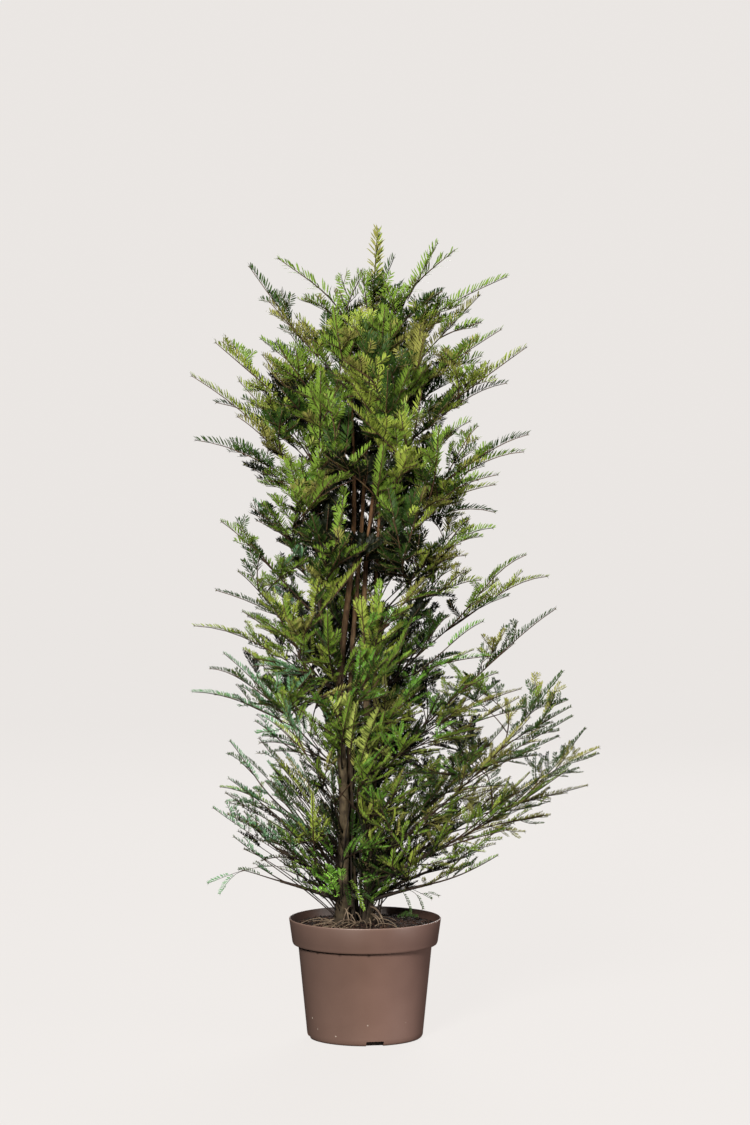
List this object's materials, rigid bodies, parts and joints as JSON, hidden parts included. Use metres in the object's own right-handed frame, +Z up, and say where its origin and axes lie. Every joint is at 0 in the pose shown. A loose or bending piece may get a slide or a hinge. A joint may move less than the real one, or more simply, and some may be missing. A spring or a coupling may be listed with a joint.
{
  "type": "potted yew",
  "caption": "Young upright yew on several slender stems with upswept needle shoots, in a round plastic nursery pot filled with soil.",
  "frame": {"origin": "centre of the pot's flat underside", "axes": "+Z up along the pot's axis, +X to the plant's right as seen from its front, +Y to its back"},
  "size_m": [0.706, 0.4803, 1.383],
  "materials": {
    "pot": "satin",
    "soil": "matte",
    "bark": "matte",
    "young_bark": "matte",
    "needles": "matte"
  },
  "bodies": {
    "root": {"pot": "pot", "soil": "soil", "stem_left": "bark", "stem_middle": "bark", "stem_right": "bark", "stem_back": "bark", "limb_left": "young_bark", "bough_right_low_front": "young_bark", "bough_right_low_back": "young_bark", "bough_right_mid_front": "young_bark", "bough_right_mid_back": "young_bark", "bough_right_high_front": "young_bark", "bough_right_high_back": "young_bark", "bough_left_low": "young_bark", "bough_left_mid": "young_bark", "bough_left_high": "young_bark", "foliage_right_front_0": "needles", "foliage_right_front_1": "needles", "foliage_right_front_2": "needles", "foliage_right_back_0": "needles", "foliage_right_back_1": "needles", "foliage_right_back_2": "needles", "foliage_right_3": "needles", "foliage_right_4": "needles", "foliage_right_5": "needles", "foliage_right_6": "needles", "foliage_right_7": "needles", "foliage_right_8": "needles", "foliage_left_0": "needles", "foliage_left_1": "needles", "foliage_left_2": "needles", "foliage_left_3": "needles", "foliage_left_4": "needles", "foliage_left_5": "needles", "foliage_left_6": "needles", "foliage_left_7": "needles", "foliage_left_8": "needles", "foliage_front_1": "needles", "foliage_front_2": "needles", "foliage_front_3": "needles", "foliage_front_4": "needles", "foliage_front_5": "needles", "foliage_front_6": "needles", "foliage_front_7": "needles", "foliage_front_8": "needles", "foliage_back_0": "needles", "foliage_back_1": "needles", "foliage_back_2": "needles", "foliage_back_3": "needles", "foliage_back_4": "needles", "foliage_back_5": "needles", "foliage_back_6": "needles", "foliage_back_7": "needles", "foliage_back_8": "needles", "foliage_leader": "needles", "foliage_top_left": "needles", "foliage_top_right": "needles"}
  },
  "joints": []
}
